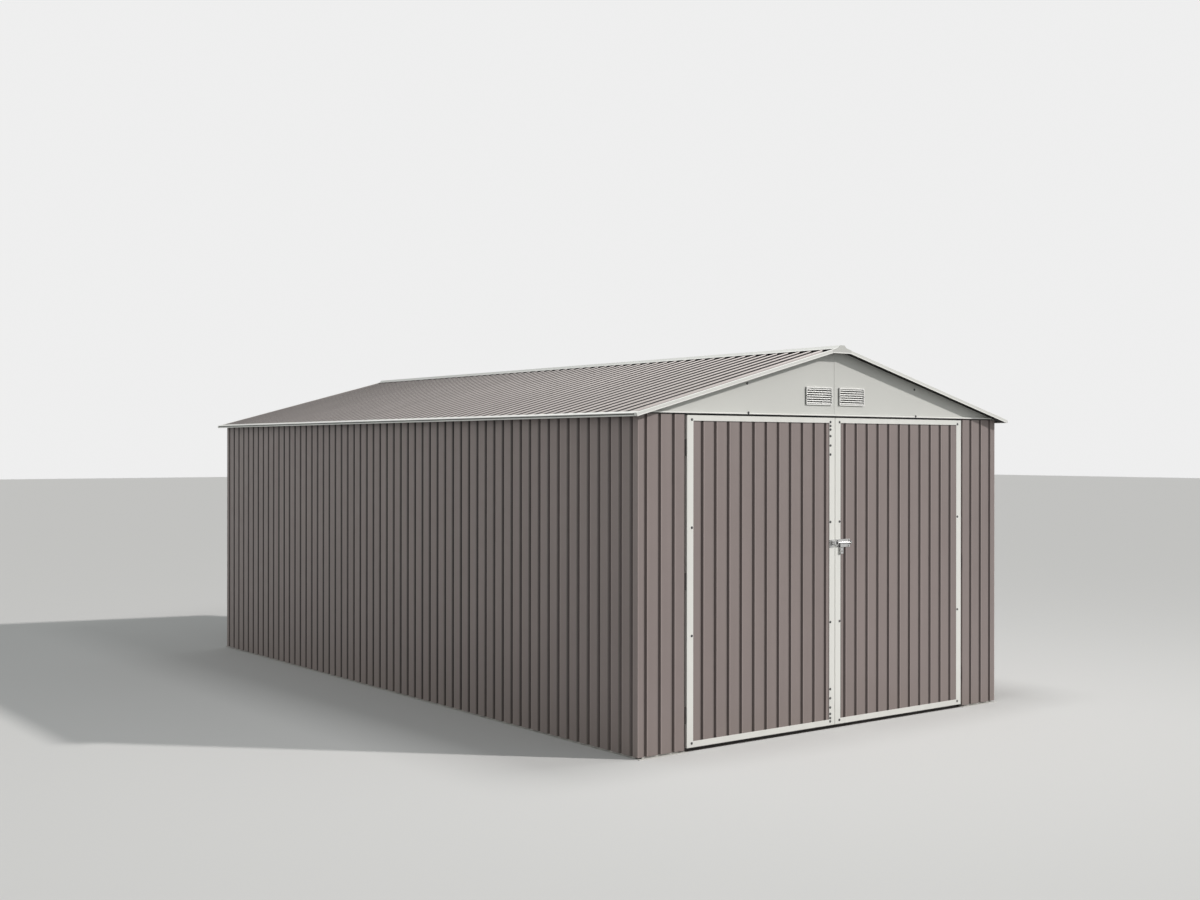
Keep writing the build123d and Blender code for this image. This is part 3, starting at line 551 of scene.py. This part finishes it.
def plated(net, colour, plating):
    """Plated steel of a colour, with fine drawing marks."""
    scales, tones, rough, depth, metallic = plating
    marks = net.streaks(scales)
    shade = net.shaded(colour, net.spread(marks, *tones), net.mottled(*PLATED_CLOUDS))
    return net.surface(shade, net.spread(marks, *rough), net.bump(marks, depth), metallic)


def latch_zinc():
    """Bright plated steel, with painted shade on the faces that look down or sideways."""
    net = material_net("latch_zinc")
    below = net.remap(net.dot(net.facing, UP), *LATCH_UNDERSIDES, 1.0, 0.0)
    shaded_faces = net.math("MAXIMUM", below, net.looks_either_way(RIGHT, FACING_LATCH_SIDE))
    return plated(net, net.mix(shaded_faces, BRIGHT_ZINC, LATCH_SHADE), LATCH_PLATING)


def washer_rubber():
    net = material_net("washer_rubber")
    shade = net.shaded(RUBBER, net.mottled(*RUBBER_CLOUDS))
    return net.surface(shade, net.mottled(*RUBBER_ROUGH), net.relief(*RUBBER_RELIEF))


def dress(material, *names):
    """Every material slot of these nodes gets the material."""
    for name in names:
        mesh = nodes[name].data
        mesh.materials.clear()
        mesh.materials.append(material)
        for face in mesh.polygons:
            face.material_index = 0


for sheet, outward, across, shift, last_groove in (
        ("left_wall", LEFT, FRONT, 0.0, LAST_SIDE_GROOVE),
        ("right_wall", RIGHT, BACK, 0.0, LAST_SIDE_GROOVE),
        ("back_wall", BACK, LEFT, 0.0, LAST_END_GROOVE),
        ("front_panel_left", FRONT, RIGHT, 0.0, LAST_END_GROOVE),
        ("front_panel_right", FRONT, RIGHT, 0.0, LAST_END_GROOVE),
        ("left_door_panel", FRONT, RIGHT, DOOR_RIB_SHIFT, LAST_END_GROOVE),
        ("right_door_panel", FRONT, RIGHT, -DOOR_RIB_SHIFT, LAST_END_GROOVE)):
    dress(wall_paint(sheet, outward, across, shift, last_groove), sheet)
dress(roof_paint("roof_left", ROOF_LEFT), "roof_left")
dress(roof_paint("roof_right", ROOF_RIGHT), "roof_right")
dress(gable_paint(), "front_gable", "back_gable")
dress(vent_paint(), "front_vents", "back_vents")
dress(trim_paint("trim_paint", TRIM_WHITE, underside=True), "ridge_cap")
dress(verge_paint("rake_paint", RAKE_FACE_SHADE, ROOF_SLOPE, RAKE_FOOT),
      "front_rake_trims", "back_rake_trims")
dress(verge_paint("end_cap_paint", CAP_FACE_SHADE, 0.0, CAP_FOOT), "ridge_end_caps")
dress(trim_paint("door_frame_paint", TRIM_WHITE, DOOR_FRAME_SOIL),
      "left_door_stiles", "left_door_rails", "right_door_stiles", "right_door_rails")
dress(eave_paint("eave_trim_left", LEFT), "eave_trim_left")
dress(eave_paint("eave_trim_right", RIGHT), "eave_trim_right")
# The jambs, sill and header get painted shade.
dress(trim_paint("jamb_paint", JAMB_SHADE, BASE_SOIL), "door_jambs", "door_sill", "door_header")
dress(trim_paint("base_paint", BASE_PALE, BASE_SOIL),
      "front_base_rails", "side_base_rails", "back_base_rail")
dress(frame_zinc(),
      "corner_posts", "side_top_rails", "mid_rails", "back_header", "ridge_beam", "purlins",
      "rafters", "cross_ties", "left_door_braces", "right_door_braces")
dress(plated(material_net("hinge_zinc"), HINGE_ZINC, HINGE_PLATING),
      "jamb_hinges", "left_door_hinges", "right_door_hinges")
dress(latch_zinc(), "latch_plate", "latch_bolt", "latch_keeper")


# Screws: a pan head with a cross recess on a washer, and the radius of each head
SCREW_SIDES = 16
FRAME_HEAD = 0.0056
LATCH_HEAD = 0.0028
HINGE_HEAD = 0.0023
VENT_HEAD = 0.0020
# (radius, height) of each ring in head radii; the washer's rings come first
WASHER_RINGS = ((1.45, 0.0), (1.45, 0.2), (1.36, 0.28), (1.0, 0.3))
HEAD_RINGS = ((1.0, 0.34), (1.0, 0.6), (0.86, 0.82), (0.58, 0.94))
RECESS_RING = (0.52, 0.95)
RECESS_FLOOR = 0.55
RECESS_CENTRE = 0.16
RINGS = (*WASHER_RINGS, *HEAD_RINGS, RECESS_RING, (RECESS_CENTRE, RECESS_FLOOR))

# Where the screws sit: distances to the side of the middle, and heights
IN_FRONT, BEHIND = -3.2, 3.2
STILE_OUTER = 1.221
STILE_INNER = 0.042
STILE_HEIGHTS = (1.982, 1.336, 0.689, 0.047)
BOLT_HEIGHTS = (1.957, 1.933, 1.891, 1.830, 1.772, 0.255, 0.196, 0.136, 0.095, 0.068)
BRACE_SCREWS = (0.030, 0.630, 1.232)
BRACE_HEIGHTS = (0.6843, 1.3467)
KEEPER_SCREW = -0.038
KEEPER_HEIGHTS = (1.213, 1.185)
LATCH_SCREWS = (0.022, 0.124)
LATCH_HEIGHTS = (1.214, 1.176)
HINGE_SCREWS = (-1.2715, 1.2715)
HINGE_HEIGHTS = (1.857, 1.776, 1.054, 0.978, 0.255, 0.174)
GABLE_SCREWS = (-0.772, 0.772)
GABLE_HEIGHTS = (2.211, 2.030)
VENT_SCREWS = (-0.037, -0.264, 0.037, 0.264)
VENT_HEIGHT = 2.147

SCREW_WASHER = washer_rubber()
SCREW_METAL = plated(material_net("screw_zinc"), SCREW_HEAD, SCREW_PLATING)


def add_screw(mesh, point, normal, radius):
    """Adds one screw to a mesh, seated on a surface at a point."""
    turn = Vector(normal).to_track_quat("Z", "Y").to_matrix()
    rings = []
    for ring_radius, height in RINGS:
        ring = []
        for side in range(SCREW_SIDES):
            angle = 2 * math.pi * side / SCREW_SIDES
            in_cross = (ring_radius, height) == RECESS_RING and side % (SCREW_SIDES // 4) == 0
            rise = RECESS_FLOOR if in_cross else height
            spot = Vector((ring_radius * math.cos(angle), ring_radius * math.sin(angle), rise))
            ring.append(mesh.verts.new(Vector(point) + turn @ (spot * radius)))
        rings.append(ring)
    for index, (low, high) in enumerate(zip(rings, rings[1:])):
        for side in range(SCREW_SIDES):
            after = (side + 1) % SCREW_SIDES
            face = mesh.faces.new((low[side], low[after], high[after], high[side]))
            face.material_index = 0 if index < len(WASHER_RINGS) - 1 else 1
            face.smooth = True
    mesh.faces.new(rings[-1]).material_index = 1


def seat(node, start, direction):
    """Where a line from start first meets a node, with the surface's normal there."""
    hit, point, normal, _ = nodes[node].ray_cast(Vector(start), Vector(direction))
    if not hit:
        raise ValueError(f"no surface of {node} at {start}")
    return point, normal


def screws(name, body, spots, radius):
    """One joined mesh of screws: spots are (node, start, direction)."""
    mesh = bmesh.new()
    for node, start, direction in spots:
        point, normal = seat(node, start, direction)
        add_screw(mesh, point, normal, radius)
    data = bpy.data.meshes.new(name)
    mesh.to_mesh(data)
    mesh.free()
    data.materials.append(SCREW_WASHER)
    data.materials.append(SCREW_METAL)
    made = bpy.data.objects.new(name, data)
    bpy.context.scene.collection.objects.link(made)
    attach(made, body)


def from_front(node, places, heights):
    return [(node, (x, IN_FRONT, z), BACK) for x in places for z in heights]


def from_back(node, places, heights):
    return [(node, (x, BEHIND, z), FRONT) for x in places for z in heights]


screws("left_door_screws", "left_door",
       from_front("left_door_stiles", [-STILE_OUTER], STILE_HEIGHTS)
       + from_front("left_door_stiles", [-STILE_INNER], STILE_HEIGHTS + BOLT_HEIGHTS)
       + from_back("left_door_braces", [-x for x in BRACE_SCREWS], BRACE_HEIGHTS), FRAME_HEAD)
screws("right_door_screws", "right_door",
       from_front("right_door_stiles", [STILE_OUTER, STILE_INNER], STILE_HEIGHTS)
       + from_back("right_door_braces", BRACE_SCREWS, BRACE_HEIGHTS), FRAME_HEAD)
screws("keeper_screws", "left_door",
       from_front("latch_keeper", [KEEPER_SCREW], KEEPER_HEIGHTS), LATCH_HEAD)
screws("latch_screws", "right_door",
       from_front("latch_plate", LATCH_SCREWS, LATCH_HEIGHTS), LATCH_HEAD)
screws("hinge_screws", "garage",
       from_front("jamb_hinges", HINGE_SCREWS, HINGE_HEIGHTS), HINGE_HEAD)
screws("gable_screws", "garage",
       from_front("front_gable", GABLE_SCREWS, GABLE_HEIGHTS)
       + from_back("back_gable", GABLE_SCREWS, GABLE_HEIGHTS), FRAME_HEAD)
screws("vent_screws", "garage",
       from_front("front_vents", VENT_SCREWS, [VENT_HEIGHT])
       + from_back("back_vents", VENT_SCREWS, [VENT_HEIGHT]), VENT_HEAD)


def seen_rays(net):
    """1 on camera, glossy and transmission rays, which see the pale background."""
    rays = net.node("ShaderNodeLightPath").outputs
    both = net.math("MAXIMUM", rays["Is Camera Ray"], rays["Is Glossy Ray"])
    return net.math("MAXIMUM", both, rays["Is Transmission Ray"])


def lamps():
    sun = bpy.data.lights.new("sun", "SUN")
    sun.energy = SUN_STRENGTH
    sun.color = SUN_COLOUR
    sun.angle = SUN_WIDTH
    holder = bpy.data.objects.new("sun", sun)
    holder.rotation_euler = Vector(TOWARDS_SUN).to_track_quat("Z", "Y").to_euler()
    bpy.context.scene.collection.objects.link(holder)

    box = bpy.data.lights.new("soft_box", "AREA")
    box.shape = "SQUARE"
    box.size = SOFT_BOX_SIZE
    box.energy = SOFT_BOX_POWER
    holder = bpy.data.objects.new("soft_box", box)
    holder.location = SOFT_BOX_PLACE
    bpy.context.scene.collection.objects.link(holder)


def sky():
    """A sky that lights the object and darkens upwards, seen itself as an even pale background."""
    net = Net(bpy.data.worlds.new("studio"))
    light = net.mix(net.dot(net.direction, UP), SKY_LOW, SKY_HIGH)
    background = net.node("ShaderNodeBackground", net.mix(seen_rays(net), light, BACKGROUND))
    net.node("ShaderNodeOutputWorld", background.outputs[0])
    bpy.context.scene.world = net.owner


def floor():
    net = material_net("floor")
    tone = net.mix(seen_rays(net), FLOOR_BOUNCE, FLOOR_SEEN)
    material = net.surface(tone, FLOOR_ROUGH, specular=0.0)
    data = bpy.data.meshes.new("floor")
    corners = [(x * FLOOR_HALF, y * FLOOR_HALF, 0.0)
               for x, y in ((-1, -1), (1, -1), (1, 1), (-1, 1))]
    data.from_pydata(corners, [], [(0, 1, 2, 3)])
    data.materials.append(material)
    made = bpy.data.objects.new("floor", data)
    bpy.context.scene.collection.objects.link(made)


def camera():
    data = bpy.data.cameras.new("camera")
    data.lens = LENS
    data.sensor_width = SENSOR
    data.clip_end = CLIP_END
    made = bpy.data.objects.new("camera", data)
    made.location = CAMERA_PLACE
    made.rotation_euler = CAMERA_TURN
    bpy.context.scene.collection.objects.link(made)
    bpy.context.scene.camera = made


lamps()
sky()
floor()
camera()
bpy.context.scene.view_settings.view_transform = "Standard"
